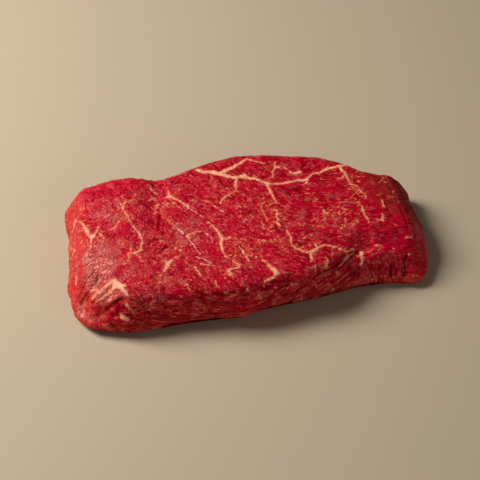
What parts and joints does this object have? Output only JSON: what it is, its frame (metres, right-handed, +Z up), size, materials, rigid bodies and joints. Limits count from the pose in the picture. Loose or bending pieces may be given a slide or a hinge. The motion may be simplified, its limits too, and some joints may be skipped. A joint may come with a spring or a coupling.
{
  "type": "raw beef steak",
  "caption": "Thick boneless slab of raw beef with fine marbling, lying flat: a long block with a soft outline, rounded rim and folds where muscles meet.",
  "frame": {"origin": "middle of the footprint, on the table under the steak", "axes": "+X along the steak's length, +Y across it towards the side with the thick fat seam, +Z up"},
  "size_m": [0.1774, 0.096, 0.0254],
  "materials": {
    "raw_beef": "moist raw beef, red with cream fat marbling"
  },
  "bodies": {
    "root": {"steak": "raw_beef"}
  },
  "joints": []
}
